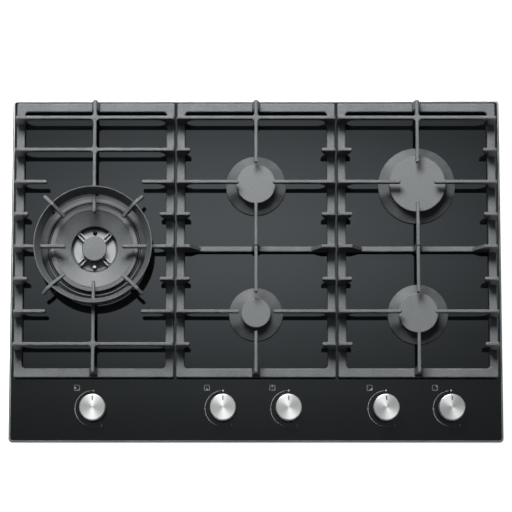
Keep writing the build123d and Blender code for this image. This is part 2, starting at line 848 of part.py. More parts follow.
def burner_box():
    """The sheet-steel tray with a flange under the glass."""
    top = GLASS_TOP - GLASS_THICK
    body = rounded_slab(BOX_WIDTH, BOX_DEPTH, BOX_CORNER, 0, top)
    body = chamfer(body.faces().sort_by(Axis.Z)[0].edges(), 2.0)
    flange_width = WIDTH - 2 * LEDGE_WIDTH - 0.4
    flange_depth = DEPTH - 2 * LEDGE_WIDTH - 0.4
    body += rounded_slab(flange_width, flange_depth, 3, top - LEDGE_THICK, top)
    inside_width = BOX_WIDTH - 2 * SHEET
    inside_depth = BOX_DEPTH - 2 * SHEET
    room = rounded_slab(inside_width, inside_depth, BOX_CORNER - SHEET, SHEET, top + 1)
    room = chamfer(room.faces().sort_by(Axis.Z)[0].edges(), 2.0)
    body -= room
    body += floor_ribs(RIB_WIDTH + 2 * SHEET, RIB_DEPTH + 2 * SHEET, SHEET - 0.2, RIB_HIGH + SHEET)
    body -= floor_ribs(RIB_WIDTH, RIB_DEPTH, 0, RIB_HIGH)
    body -= vent_slots()
    for x in (-PANEL_HOLE_X, PANEL_HOLE_X):
        for y in (-PANEL_HOLE_Y, PANEL_HOLE_Y):
            body -= rod(x, y, PANEL_HOLE_RADIUS, -1, SHEET + 1)
    wall = BOX_DEPTH / 2
    body -= lying_rod((INLET_X, wall - 5, RAIL_Z), (INLET_X, wall + 5, RAIL_Z), INLET_RADIUS + 0.4)
    body -= lying_rod((GLAND_X, wall - 5, GLAND_Z), (GLAND_X, wall + 5, GLAND_Z), GLAND_RADIUS + 0.1)
    for x, y in floor_screw_places():
        body -= rod(x, y, SCREW_HOLE, -1, SHEET + 1)
    return body - [clamp_screw_hole(x, side) for x, side in clamp_places()]


def bridge_columns():
    return [WOK_PLACE[0], BURNERS["auxiliary"][0], BURNERS["rapid"][0]]


def bridge(x):
    """A steel bridge that carries one column of cups."""
    high = CUP_LOW
    low = high - SHEET
    half = BRIDGE_HALF
    body = block(x - half, x + half, BRIDGE_FRONT, BRIDGE_REAR, low, high)
    for y, outward in ((BRIDGE_FRONT, -1), (BRIDGE_REAR, 1)):
        leg_y = sorted((y, y - outward * SHEET))
        foot_y = sorted((y, y + outward * BRIDGE_FOOT))
        body += block(x - half, x + half, *leg_y, SHEET, high)
        body += block(x - half, x + half, *foot_y, SHEET, 2 * SHEET)
        body -= rod(x, y + outward * BRIDGE_SCREW, SCREW_HOLE, SHEET - 1, 2 * SHEET + 1)
    for rail in (-1, 1):
        edge = sorted((x + rail * half, x + rail * (half - SHEET)))
        body += block(*edge, BRIDGE_FRONT, BRIDGE_REAR, low - 4, high)
    return body


def bridges():
    """The three bridges, holed where a jet's screw or a probe comes through."""
    made = []
    places = wok_probe_places() + [WOK_PLACE]
    for name, (x, y, _, _) in BURNERS.items():
        places += [(x, y)] + probe_places(name)
    holes = [rod(x, y, 5.0, CUP_LOW - 7, CUP_LOW + 1) for x, y in places]
    for x in bridge_columns():
        made.append(bridge(x) - holes)
    return made


def clamp_places():
    """The clamps' x and the side of the box, front or rear."""
    return [(x, side) for side in (-1, 1) for x in CLAMP_XS]


def clamp_screw_hole(x, side):
    """The hole for a clamp's screw, through the clamp and the box wall."""
    y = side * BOX_DEPTH / 2
    return lying_rod((x, y - 5, CLAMP_SCREW_Z), (x, y + 5, CLAMP_SCREW_Z), SCREW_HOLE)


def clamp(x, side):
    """A strap that pulls the cooktop down on the worktop."""
    wall = side * BOX_DEPTH / 2
    end = wall + side * CLAMP_REACH
    leg = sorted((wall, wall + side * CLAMP_THICK))
    lip = sorted((end, end - side * CLAMP_THICK))
    low, high = CLAMP_LOW, CLAMP_HIGH
    left, right = x - CLAMP_HALF, x + CLAMP_HALF
    body = block(left, right, *leg, low, high)
    body += block(left, right, *sorted((wall, end)), high - CLAMP_THICK, high)
    body += block(left, right, *lip, high - CLAMP_THICK, high + 3)
    return body - clamp_screw_hole(x, side)


def floor_screw_places():
    """Where screws hold the bridges and the ignition module to the floor."""
    places = []
    for x in bridge_columns():
        places.append((x, BRIDGE_FRONT - BRIDGE_SCREW))
        places.append((x, BRIDGE_REAR + BRIDGE_SCREW))
    for dy in (-MODULE_EAR, MODULE_EAR):
        places.append((MODULE_X, MODULE_Y + dy))
    return places


def screw(length):
    """A pan-head screw with its head's underside at z = 0 and a cross recess."""
    outline = [(0, -length), (1.9, -length), (1.9, 0), (3.8, 0), (3.8, 1.2), (2.6, 2.2), (0, 2.4)]
    body = turned(outline)
    recess = block(-2, 2, -0.35, 0.35, 1.4, 3) + block(-0.35, 0.35, -2, 2, 1.4, 3)
    return body - recess


def screws():
    """All small screws: in the box floor and in the clamps."""
    made = []
    floor_screw = screw(2 * SHEET - 0.2)
    for x, y in floor_screw_places():
        made.append(Pos(x, y, 2 * SHEET) * floor_screw)
    wall_screw = screw(5.0)
    for x, side in clamp_places():
        y = side * (BOX_DEPTH / 2 + CLAMP_THICK)
        made.append(Pos(x, y, CLAMP_SCREW_Z) * Rot(-90 * side, 0, 0) * wall_screw)
    return made


# --- Gas train and knobs ----------------------------------------------------------


def gas_valve(x, side):
    """A gas valve clamped on the manifold, with its magnet unit and outlet."""
    y = KNOB_Y
    body = rod(x, y, VALVE_RADIUS, VALVE_LOW, VALVE_HIGH)
    body += block(x - 12, x + 12, y - 11, y + 11, RAIL_Z, VALVE_LOW + 2)
    body -= lying_rod((x - 20, y, RAIL_Z), (x + 20, y, RAIL_Z), RAIL_RADIUS)
    body += lying_rod((x + 8 * side, y, MAGNET_Z), (x + MAGNET_END * side, y, MAGNET_Z), 7.0)
    body += lying_rod((x, y + 8, PIPE_Z), (x, y + 20, PIPE_Z), 5.0)
    nut = Plane(origin=(x, y + 17, PIPE_Z), z_dir=(0, 1, 0)) * RegularPolygon(6.5, 6)
    body += extrude(nut, 7)
    body -= lying_rod((x, y + 14, PIPE_Z), (x, y + 26, PIPE_Z), PIPE_RADIUS)
    body += Pos(x, y, VALVE_HIGH - 4) * extrude(SlotOverall(34, 12), 4)
    body -= rod(x, y, 7.0, 28, 46)
    body -= rod(x, y, SPINDLE_RADIUS + SHAFT_FIT, 45, VALVE_HIGH + 1)
    body -= rod(x, y, 2.4, 23.5, 29)
    return body


def push_rod(x):
    """The rod in a valve that a pressed knob drives down."""
    outline = [(0, 27.2), (2.0, 27.2), (2.0, 34.4), (5.5, 34.4), (5.5, 37.7), (0, 37.7)]
    return turned(outline, (x, KNOB_Y))


def spindle(x):
    """A valve spindle: its rotor below and a flat for the knob above."""
    end = GLASS_TOP + 15.5
    outline = [
        (0, 38),
        (6.6, 38),
        (6.6, 42.5),
        (SPINDLE_RADIUS, 42.5),
        (SPINDLE_RADIUS, end - 0.6),
        (SPINDLE_RADIUS - 0.6, end),
        (0, end),
    ]
    body = turned(outline, (x, KNOB_Y))
    return body - block(x - 5, x + 5, KNOB_Y - 5, KNOB_Y - 2.2, GLASS_TOP + 6.5, end + 1)


def knob(x):
    """A turned metal knob with a hub and a short pointer groove."""
    top = KNOB_HIGH
    body = turned(
        [
            (17.6, KNOB_LOW),
            (19.5, KNOB_LOW),
            (KNOB_RADIUS, KNOB_LOW + 0.5),
            (KNOB_RADIUS - 0.3, top - 1.0),
            (KNOB_RADIUS - 0.6, top - 0.3),
            (KNOB_RADIUS - 1.2, top),
            (0, top),
            (0, 16.4),
            (SPINDLE_RADIUS + SHAFT_FIT, 16.4),
            (SPINDLE_RADIUS + SHAFT_FIT, 6.0),
            (7.0, 6.0),
            (7.0, 18.5),
            (17.6, 18.5),
        ],
        (x, KNOB_Y),
        GLASS_TOP,
    )
    high = GLASS_TOP + top
    near, far = KNOB_Y + POINTER_NEAR, KNOB_Y + POINTER_FAR
    return body - block(x - POINTER_HALF, x + POINTER_HALF, near, far, high - POINTER_DEEP, high + 1)


def knob_seals():
    """The rubber seals round the spindles in the glass."""
    outline = [(4.2, -GLASS_THICK), (6.9, -GLASS_THICK), (6.9, 0), (9, 0), (8.7, 0.8), (4.2, 0.8)]
    return [turned(outline, (x, KNOB_Y), GLASS_TOP) for x in KNOB_XS]


def manifold_pipe():
    """The steel pipe under the valves, bent back to the gas inlet."""
    points = [
        (KNOB_XS[0] - 28, KNOB_Y, RAIL_Z),
        (INLET_X, KNOB_Y, RAIL_Z),
        (INLET_X, BOX_DEPTH / 2 - 26, RAIL_Z),
    ]
    pipe = tube(points, RAIL_RADIUS, 24, RAIL_BORE)
    end = KNOB_XS[0] - 28
    plug = lying_rod((end, KNOB_Y, RAIL_Z), (end + 3, KNOB_Y, RAIL_Z), RAIL_BORE)
    return pipe + plug


def gas_inlet():
    """The threaded inlet connector through the rear wall."""
    wall = BOX_DEPTH / 2
    start = (INLET_X, wall - 30, RAIL_Z)
    body = lying_rod((INLET_X, wall - 26, RAIL_Z), (INLET_X, INLET_END - 1, RAIL_Z), INLET_RADIUS)
    nut = Plane(origin=start, z_dir=(0, 1, 0)) * RegularPolygon(11.6, 6, major_radius=False, rotation=30)
    inner_nut = Pos(0, 14, 0) * extrude(nut, 12.4)
    cone = Plane(origin=(INLET_X, INLET_END - 1, RAIL_Z), z_dir=(0, 1, 0))
    body += extrude(cone * Circle(INLET_RADIUS), 1, taper=30)
    body += inner_nut
    lock_nut = Plane(origin=(INLET_X, wall, RAIL_Z), z_dir=(0, 1, 0))
    body += extrude(lock_nut * RegularPolygon(12.4, 6, major_radius=False, rotation=30), 4)
    bore = lying_rod((INLET_X, wall - 34, RAIL_Z), (INLET_X, INLET_END + 1, RAIL_Z), 6.5)
    return body - bore


def wok_feed_pipes():
    """The two pipes from the first valve to the wok burner."""
    outlet = KNOB_Y + OUTLET_REACH
    x = WOK_PLACE[0]
    straight = [(KNOB_XS[0], outlet), (KNOB_XS[0], outlet + 60), (x, outlet + 80)]
    straight.append((x, WOK_PLACE[1] - WOK_NECK - 3))
    reach = math.sqrt(WOK_NECK**2 - WOK_BRANCH**2)
    branch = [(x + 3.2, outlet + 90), (x + WOK_BRANCH, outlet + 104)]
    branch.append((x + WOK_BRANCH, WOK_PLACE[1] - reach - 3))
    return [straight, branch]


def feed_pipes():
    """The gas pipes from the valves to the cups."""
    outlet = KNOB_Y + OUTLET_REACH
    routes = wok_feed_pipes()
    for name, valve in BURNER_VALVES.items():
        x, y, cap, _ = BURNERS[name]
        side = -1 if valve in (1, 3) else 1
        end = x + side * (cap - PORT_INSET + NECK_OUTSET + 3)
        start = KNOB_XS[valve]
        route = [(start, outlet)]
        lane = start
        if side * (start - end) < 10:
            lane = end + side * 16
            route += [(start, y - 120), (lane, y - 70)]
        routes.append(route + [(lane, y), (end, y)])
    made = []
    for route in routes:
        points = [(px, py, PIPE_Z) for px, py in route]
        made.append(tube(points, PIPE_RADIUS, PIPE_BEND, PIPE_BORE))
    return made


def thermocouple(place, valve, top):
    """A thermocouple probe with its lead to the valve's magnet unit."""
    px, py = place
    outline = [
        (0, CUP_LOW - 5),
        (THERMOCOUPLE_RADIUS, CUP_LOW - 5),
        (THERMOCOUPLE_RADIUS, CUP_LOW - 1),
        (ELECTRODE_RADIUS - 0.05, CUP_LOW - 0.5),
        (ELECTRODE_RADIUS - 0.05, GLASS_TOP - 8),
        (THERMOCOUPLE_RADIUS, GLASS_TOP - 7),
        (THERMOCOUPLE_RADIUS, GLASS_TOP + top - 0.8),
        (THERMOCOUPLE_RADIUS - 0.8, GLASS_TOP + top),
        (0, GLASS_TOP + top),
    ]
    side = MAGNET_SIDES[valve]
    end_x = KNOB_XS[valve] + side * MAGNET_END
    level = THERMO_LEAD_Z
    turn_x = end_x + side * 5
    points = [
        (px, py, CUP_LOW - 4.5),
        (px, py, level),
        (turn_x, py - 6, level),
        (turn_x, KNOB_Y + 26, level),
        (turn_x, KNOB_Y, MAGNET_Z),
        (end_x, KNOB_Y, MAGNET_Z),
    ]
    return turned(outline, place) + tube(points, THERMO_LEAD_RADIUS, LEAD_BEND)


def thermocouples():
    made = [thermocouple(wok_probe_places()[1], 0, 9.0)]
    for name, valve in BURNER_VALVES.items():
        made.append(thermocouple(probe_places(name)[1], valve, PROBE_TOP))
    return made


def lead_sockets():
    """Where the high-voltage leads leave the ignition module."""
    first = MODULE_Y - LEAD_PITCH * (LEAD_COUNT - 1) / 2
    return [(MODULE_X - MODULE_SOCKET, first + LEAD_PITCH * i) for i in range(LEAD_COUNT)]


def ignition_module():
    """The spark generator on the box floor, with its lead sockets."""
    x, y = MODULE_X, MODULE_Y
    body = block(x - 32, x + 32, y - 24, y + 24, SHEET, 26)
    body = fillet(body.edges().filter_by(Axis.Z), 3)
    body = chamfer(body.faces().sort_by(Axis.Z)[-1].edges(), 1.5)
    for dy in (-MODULE_EAR, MODULE_EAR):
        edge = sorted((y + dy * 0.65, y + dy * 1.2))
        ear = block(x - 7, x + 7, *edge, SHEET, 2 * SHEET)
        body += ear - rod(x, y + dy, SCREW_HOLE, SHEET - 1, 2 * SHEET + 1)
    for start_x, start_y in lead_sockets():
        body += lying_rod((x - 30, start_y, LEAD_Z), (start_x, start_y, LEAD_Z), 2.6)
    for i in range(3):
        body += block(x + 30, x + 38, y - 12 + 9 * i, y - 6 + 9 * i, 8, 15)
    return body


def ignition_leads():
    """The high-voltage leads from the module to the electrodes."""
    # From the front socket to the rear one, so that no two leads cross.
    ends = [probe_places("semi_rapid_front")[0], probe_places("auxiliary")[0]]
    ends += [wok_probe_places()[0]]
    ends += [probe_places("semi_rapid_rear")[0], probe_places("rapid")[0]]
    made = []
    for i, (px, py) in enumerate(ends):
        start_x, start_y = lead_sockets()[i]
        lane = start_x - 9 - 5 * min(i, LEAD_COUNT - 1 - i)
        points = [
            (start_x, start_y, LEAD_Z),
            (lane, start_y, LEAD_Z),
            (lane, py, LEAD_Z),
            (px, py, LEAD_Z),
            (px, py, CUP_LOW - 4),
        ]
        made.append(tube(points, LEAD_RADIUS, LEAD_BEND))
    return made


def switch_harness():
    """The ignition switches on the valves and the wire that joins them."""
    y = KNOB_Y - 18
    made = []
    for x in KNOB_XS:
        body = block(x - 9, x + 9, y - 1, y + 5, 40, 50)
        made.append(fillet(body.edges().filter_by(Axis.Y), 1))
    made.append(lying_rod((KNOB_XS[0] - 9, y - 2, 45), (KNOB_XS[-1] + 9, y - 2, 45), 1.0))
    return made


def cord_gland():
    """The empty gland for the mains cord in the rear wall."""
    wall = BOX_DEPTH / 2
    base = Plane(origin=(GLAND_X, wall, GLAND_Z), z_dir=(0, 1, 0))
    inside = Plane(origin=(GLAND_X, wall - SHEET, GLAND_Z), z_dir=(0, -1, 0))
    body = extrude(base * RegularPolygon(11.5, 6), 5)
    body += extrude(Plane(origin=(GLAND_X, wall + 5, GLAND_Z), z_dir=(0, 1, 0)) * Circle(8.5), 9)
    body += extrude(inside * Circle(GLAND_RADIUS), 10)
    body += extrude(inside * RegularPolygon(11.0, 6), 5)
    body += lying_rod((GLAND_X, wall - 3, GLAND_Z), (GLAND_X, wall + 3, GLAND_Z), GLAND_RADIUS)
    return body - lying_rod((GLAND_X, wall - 20, GLAND_Z), (GLAND_X, wall + 20, GLAND_Z), GLAND_BORE)


# --- Nodes ------------------------------------------------------------------------


def shifted(pieces, x=0.0, z=0.0):
    """Moves one piece or a list of pieces."""
    if isinstance(pieces, list):
        return [Pos(x, 0, z) * piece for piece in pieces]
    return Pos(x, 0, z) * pieces


def all_nodes():
    nodes = {
        "glass_top": glass_top(),
        "trim_frame": trim_frame(),
        "worktop_gasket": worktop_gasket(),
        "burner_box": burner_box(),
        "hold_down_clamps": [clamp(x, side) for x, side in clamp_places()],
        "cup_bridges": bridges(),
        "screws": screws(),
        "manifold_pipe": manifold_pipe(),
        "gas_inlet": gas_inlet(),
        "feed_pipes": feed_pipes(),
        "injectors": injectors(),
        "electrodes": electrodes(),
        "thermocouples": thermocouples(),
        "ignition_module": ignition_module(),
        "ignition_leads": ignition_leads(),
        "switch_harness": switch_harness(),
        "cord_gland": cord_gland(),
        "knob_seals": knob_seals(),
        "cup_wok": wok_cup(),
        "cup_rapid": cup("rapid"),
        "cups_semi_rapid": [cup("semi_rapid_rear"), cup("semi_rapid_front")],
        "cup_auxiliary": cup("auxiliary"),
        "crown_wok": wok_crown(),
        "cap_wok_ring": wok_cap_ring(),
        "cap_wok_centre": wok_centre_cap(),
        "wok_ring": Pos(*WOK_PLACE, GLASS_TOP) * wok_ring(),
    }
    for name in BURNERS:
        nodes["crown_" + name] = crown(name)
        nodes["cap_" + name] = cap_plate(name)
    supports = {"left": wok_support(), "middle": round_burner_support()}
    supports["right"] = supports["middle"]
    for i, side in enumerate(("left", "middle", "right")):
        x = (i - 1) * SUPPORT_PITCH
        nodes["pan_support_" + side] = shifted(supports[side], x, GLASS_TOP)
        nodes["support_feet_" + side] = shifted(rubber_feet(), x, GLASS_TOP)
    for i, x in enumerate(KNOB_XS, start=1):
        nodes[f"gas_valve_{i}"] = gas_valve(x, MAGNET_SIDES[i - 1])
        nodes[f"push_rod_{i}"] = push_rod(x)
        nodes[f"spindle_{i}"] = spindle(x)
        nodes[f"knob_{i}"] = knob(x)
    return nodes


os.makedirs("parts", exist_ok=True)
for node, shape in all_nodes().items():
    pieces = shape if isinstance(shape, list) else [shape]
    solids = [solid for piece in pieces for solid in piece.solids()]
    export_step(Compound(solids), f"parts/{node}.step")
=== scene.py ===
import math

import bmesh
import bpy
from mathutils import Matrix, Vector

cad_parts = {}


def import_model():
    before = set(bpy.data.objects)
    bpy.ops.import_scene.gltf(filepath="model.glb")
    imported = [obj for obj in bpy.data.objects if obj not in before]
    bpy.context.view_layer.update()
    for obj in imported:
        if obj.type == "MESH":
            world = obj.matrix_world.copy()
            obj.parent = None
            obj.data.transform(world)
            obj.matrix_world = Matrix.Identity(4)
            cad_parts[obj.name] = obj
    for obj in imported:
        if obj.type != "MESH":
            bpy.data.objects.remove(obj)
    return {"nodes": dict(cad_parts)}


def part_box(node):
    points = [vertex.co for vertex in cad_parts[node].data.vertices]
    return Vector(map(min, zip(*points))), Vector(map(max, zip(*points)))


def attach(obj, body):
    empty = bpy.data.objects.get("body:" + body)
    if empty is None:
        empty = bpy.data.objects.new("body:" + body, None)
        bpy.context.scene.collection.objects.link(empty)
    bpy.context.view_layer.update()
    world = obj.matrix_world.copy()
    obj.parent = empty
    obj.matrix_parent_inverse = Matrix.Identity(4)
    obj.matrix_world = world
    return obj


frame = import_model()
nodes = frame["nodes"]
bpy.context.view_layer.update()

GLASS_TOP = 0.064
CAMERA_TILT = math.radians(9.5)
CAMERA_DISTANCE = 4.2
LOOK_AT = Vector((0.0, 0.0211, GLASS_TOP))
FRAME_WIDTH = 0.783
SENSOR = 36.0
TIP_START = 0.0755
WOK_PLACE = sum(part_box("cap_wok_centre"), Vector()) / 2
# radii of the wok burner's crown, and the turning marks' phase per metre of radius
MACHINED_RADIUS = 0.0315
LATHE_LINES = 9000.0
# radii of the channels painted near black as painted shade, and of the skirt band painted lighter as
# painted light
SHADED_CHANNELS = ((0.0645, 0.0683), (0.0695, 0.0712))
LIT_BAND = (0.0732, 0.0785)
# the pointer groove in a knob's top, as shares of the knob's box counted from its middle or its base
GROOVE_HALF = 0.0195
GROOVE_REACH = (0.26, 0.425)
GROOVE_LOW = 0.93


# ---------------------------------------------------------------- node helpers

class Look:
    """A Principled material and the small node recipes that the looks share."""

    def __init__(self, name, colour, roughness, metallic=0.0, **settings):
        self.material = bpy.data.materials.new(name)
        self.material.use_nodes = True
        self.tree = self.material.node_tree
        self.shader = self.tree.nodes["Principled BSDF"]
        self.colour = (*colour, 1.0)
        self.material.diffuse_color = self.colour
        self.shader.inputs["Base Color"].default_value = self.colour
        self.shader.inputs["Roughness"].default_value = roughness
        self.shader.inputs["Metallic"].default_value = metallic
        for socket, value in settings.items():
            self.shader.inputs[socket.replace("_", " ")].default_value = value
        self.heights = None
        self.where = None

    def node(self, kind, **inputs):
        """A new shader node with the named inputs set or linked."""
        made = self.tree.nodes.new(kind)
        for socket, value in inputs.items():
            self.put(made.inputs[socket.replace("_", " ")], value)
        return made

    def put(self, socket, value):
        if isinstance(value, bpy.types.NodeSocket):
            self.tree.links.new(value, socket)
        else:
            socket.default_value = value

    def math(self, operation, first, second=0.0):
        made = self.tree.nodes.new("ShaderNodeMath")
        made.operation = operation
        self.put(made.inputs[0], first)
        self.put(made.inputs[1], second)
        return made.outputs[0]

    def object_point(self):
        if self.where is None:
            self.where = self.tree.nodes.new("ShaderNodeTexCoord").outputs["Object"]
        return self.where

    def stretched(self, stretch):
        """The object's own coordinates, squeezed by stretch along each axis."""
        made = self.tree.nodes.new("ShaderNodeMapping")
        self.put(made.inputs["Vector"], self.object_point())
        made.inputs["Scale"].default_value = stretch
        return made.outputs["Vector"]

    def noise(self, scale, detail=2.0, rough=0.5, stretch=None):
        vector = self.stretched(stretch) if stretch else self.object_point()
        settings = {"Scale": scale, "Detail": detail, "Roughness": rough}
        return self.node("ShaderNodeTexNoise", Vector=vector, **settings).outputs[0]

    def span(self, value, low, high, new_low, new_high):
        """value from low..high carried to new_low..new_high, clamped."""
        made = self.tree.nodes.new("ShaderNodeMapRange")
        for socket, number in zip(made.inputs, (value, low, high, new_low, new_high)):
            self.put(socket, number)
        return made.outputs[0]

    def band(self, value, low, high):
        """1 where value lies between low and high, else 0."""
        above = self.math("GREATER_THAN", value, low)
        return self.math("MULTIPLY", above, self.math("LESS_THAN", value, high))

    def reach(self, across, along):
        """How far a point lies from an axis, given its two coordinates square to that axis."""
        squares = [self.math("POWER", side, 2.0) for side in (across, along)]
        return self.math("SQRT", self.math("ADD", *squares))

    def shade_upright_faces(self, colour, side, share):
        """colour on faces that look up; on upright faces side is mixed into it by share, as painted shade.
        """
        facing = self.tree.nodes.new("ShaderNodeNewGeometry").outputs["Normal"]
        upward = self.node("ShaderNodeSeparateXYZ", Vector=facing).outputs["Z"]
        return self.blend(self.span(upward, 0.1, 0.75, share, 0.0), colour, side)

    def blend(self, factor, first, second):
        """A colour between first and second."""
        made = self.tree.nodes.new("ShaderNodeMix")
        made.data_type = "RGBA"
        self.put(made.inputs["Factor"], factor)
        self.put(made.inputs[6], first if isinstance(first, bpy.types.NodeSocket) else (*first, 1.0))
        self.put(made.inputs[7], second if isinstance(second, bpy.types.NodeSocket) else (*second, 1.0))
        return made.outputs[2]

    def paint(self, colour):
        self.put(self.shader.inputs["Base Color"], colour)

    def polish(self, value):
        self.put(self.shader.inputs["Roughness"], value)

    def bump(self, height, depth, strength=1.0):
        """Adds a relief of the given depth in metres on top of the ones before it."""
        made = self.node("ShaderNodeBump", Height=height, Distance=depth, Strength=strength)
        if self.heights is not None:
            self.put(made.inputs["Normal"], self.heights)
        self.heights = made.outputs["Normal"]
        self.put(self.shader.inputs["Normal"], self.heights)


# ---------------------------------------------------------------- materials

def shade(colour, factor):
    return tuple(channel * factor for channel in colour)


def black_glass():
    """Black ceramic glass with faint wipe marks in its gloss."""
    look = Look("black_glass", (0.0018, 0.0023, 0.0024), 0.05, IOR=1.5)
    wipes = look.noise(9.0, 3.0, 0.6, stretch=(1.0, 2.4, 1.0))
    prints = look.noise(46.0, 4.0, 0.62)
    mottle = look.math("MULTIPLY", wipes, prints)
    look.polish(look.span(mottle, 0.16, 0.42, 0.035, 0.075))
    wiped = look.span(wipes, 0.35, 0.7, 0.0, 1.0)
    look.paint(look.blend(wiped, (0.0016, 0.002, 0.0021), (0.0023, 0.0029, 0.003)))
    look.bump(look.noise(5.0, 1.0), 0.00002)
    return look


def trim_metal():
    """Brushed thin trim."""
    look = Look("trim_metal", (0.36, 0.37, 0.375), 0.42, 0.9, Anisotropic=0.3)
    grain = look.noise(420.0, 3.0, 0.6, stretch=(0.03, 0.03, 1.0))
    look.paint(look.blend(grain, (0.3, 0.31, 0.315), (0.42, 0.43, 0.435)))
    look.polish(look.span(grain, 0.3, 0.7, 0.36, 0.48))
    look.bump(grain, 0.00003)
    return look


def cast_iron():
    """Matt enamel on sand-cast iron; its upright faces are painted darker than its tops, as painted shade.
    """
    base = (0.128, 0.138, 0.142)
    look = Look("cast_iron", base, 0.6, Specular_IOR_Level=0.4)
    sand = look.noise(620.0, 4.0, 0.7)
    lumps = look.noise(210.0, 3.0, 0.55)
    patches = look.noise(34.0, 4.0, 0.6)
    tone = look.blend(look.span(patches, 0.34, 0.68, 0.0, 1.0), shade(base, 0.86), shade(base, 1.12))
    speckle = look.blend(look.span(sand, 0.48, 0.68, 0.0, 0.7), tone, shade(base, 1.65))
    pits = look.span(sand, 0.3, 0.42, 0.45, 0.0)
    pitted = look.blend(pits, speckle, shade(base, 0.6))
    # painted shade: upright faces take 75% of a colour three tenths as bright as the base
    look.paint(look.shade_upright_faces(pitted, shade(base, 0.3), 0.75))
    look.polish(look.span(lumps, 0.3, 0.7, 0.52, 0.7))
    look.bump(lumps, 0.00035, 0.6)
    look.bump(sand, 0.00022, 0.8)
    return look


def enamelled_cap():
    """Fine-grained matt enamel of the burner caps."""
    base = (0.132, 0.14, 0.143)
    look = Look("enamelled_cap", base, 0.5, Specular_IOR_Level=0.6)
    sand = look.noise(560.0, 3.0, 0.65)
    clouds = look.noise(60.0, 4.0, 0.6)
    tone = look.blend(look.span(clouds, 0.34, 0.68, 0.0, 1.0), shade(base, 0.88), shade(base, 1.1))
    speckle = look.blend(look.span(sand, 0.42, 0.66, 0.0, 1.0), shade(base, 0.8), shade(base, 1.3))
    speckle = look.blend(0.6, tone, speckle)
    # painted shade: upright faces are darkened towards a fifth of the base colour
    look.paint(look.shade_upright_faces(speckle, shade(base, 0.2), 0.85))
    look.polish(look.span(clouds, 0.3, 0.7, 0.46, 0.56))
    look.bump(look.noise(380.0, 2.0), 0.0002, 0.5)
    look.bump(sand, 0.00016, 0.7)
    return look


def burner_crown():
    """Grey cast metal with painted shade on upright faces; the wok burner has a machined middle, channels
    painted near black as shade and a skirt band painted lighter as light.
    """
    base = (0.088, 0.095, 0.099)
    look = Look("burner_crown", base, 0.5, 0.0, Specular_IOR_Level=0.3)
    cast = look.noise(640.0, 3.0, 0.6)
    heat = look.noise(42.0, 3.0, 0.6)
    grey = look.blend(look.span(heat, 0.35, 0.7, 0.0, 1.0), shade(base, 0.8), shade(base, 1.18))
    apart = look.node("ShaderNodeSeparateXYZ", Vector=look.object_point())
    from_wok = [look.math("SUBTRACT", apart.outputs[i], WOK_PLACE[i]) for i in range(2)]
    radius = look.reach(*from_wok)
    middle = look.span(radius, MACHINED_RADIUS, MACHINED_RADIUS + 0.0005, 1.0, 0.0)
    cuts = look.math("SINE", look.math("MULTIPLY", radius, LATHE_LINES))
    bright = look.blend(look.span(cuts, -1.0, 1.0, 0.0, 1.0), (0.3, 0.31, 0.31), (0.4, 0.41, 0.41))
    # painted shade: the channels between the wok rings are painted near black and made matt
    channel_shade = look.math("MAXIMUM", *[look.band(radius, *channel) for channel in SHADED_CHANNELS])
    # painted light: a band of the wok skirt is painted 1.7 times lighter where the slope catches the light
    lit_band = look.blend(look.band(radius, *LIT_BAND), grey, shade(base, 1.7))
    # painted shade: upright faces are darkened towards a fifth of the base colour
    sides = look.shade_upright_faces(lit_band, shade(base, 0.2), 0.85)
    look.paint(look.blend(middle, look.blend(channel_shade, sides, shade(base, 0.08)), bright))
    matt = look.span(channel_shade, 0.0, 1.0, 0.48, 0.95)
    look.polish(look.span(middle, 0.0, 1.0, matt, 0.4))
    look.bump(cast, 0.00018, 0.8)
    return look


def cast_cup():
    """Bare die-cast metal."""
    base = (0.3, 0.305, 0.31)
    look = Look("cast_cup", base, 0.45, 0.7)
    cast = look.noise(520.0, 3.0, 0.6)
    look.paint(look.blend(cast, shade(base, 0.8), shade(base, 1.15)))
    look.polish(look.span(cast, 0.3, 0.7, 0.38, 0.55))
    look.bump(cast, 0.00018, 0.8)
    return look


def brushed_knob():
    """Spun aluminium: circular brush marks about the axis through the middle of the piece's box."""
    base = (0.67, 0.653, 0.63)
    look = Look("brushed_knob", base, 0.38, 1.0, Anisotropic=0.5, Anisotropic_Rotation=0.25)
    coordinates = look.tree.nodes.new("ShaderNodeTexCoord").outputs["Generated"]
    centred = look.tree.nodes.new("ShaderNodeMapping")
    look.put(centred.inputs["Vector"], coordinates)
    centred.inputs["Location"].default_value = (-0.5, -0.5, 0.0)
    apart = look.node("ShaderNodeSeparateXYZ", Vector=centred.outputs["Vector"])
    radius = look.reach(apart.outputs["X"], apart.outputs["Y"])
    depth = look.math("MULTIPLY", apart.outputs["Z"], 0.35)
    rings = look.node("ShaderNodeCombineXYZ", X=radius, Y=depth).outputs[0]
    brush = look.node("ShaderNodeTexNoise", Vector=rings, Scale=150.0, Detail=4.0, Roughness=0.7).outputs[0]
    spun = look.blend(look.span(brush, 0.3, 0.7, 0.0, 1.0), shade(base, 0.82), base)
    beside = look.band(apart.outputs["X"], -GROOVE_HALF, GROOVE_HALF)
    in_groove = look.math("MULTIPLY", beside, look.band(apart.outputs["Y"], *GROOVE_REACH))
    in_groove = look.math("MULTIPLY", in_groove, look.math("GREATER_THAN", apart.outputs["Z"], GROOVE_LOW))
    look.paint(look.blend(in_groove, spun, (0.012, 0.012, 0.012)))
    look.polish(look.span(brush, 0.3, 0.7, 0.3, 0.44))
    look.bump(brush, 0.00004, 0.8)
    tangent = look.tree.nodes.new("ShaderNodeTangent")
    tangent.direction_type = "RADIAL"
    tangent.axis = "Z"
    look.put(look.shader.inputs["Tangent"], tangent.outputs[0])
    return look


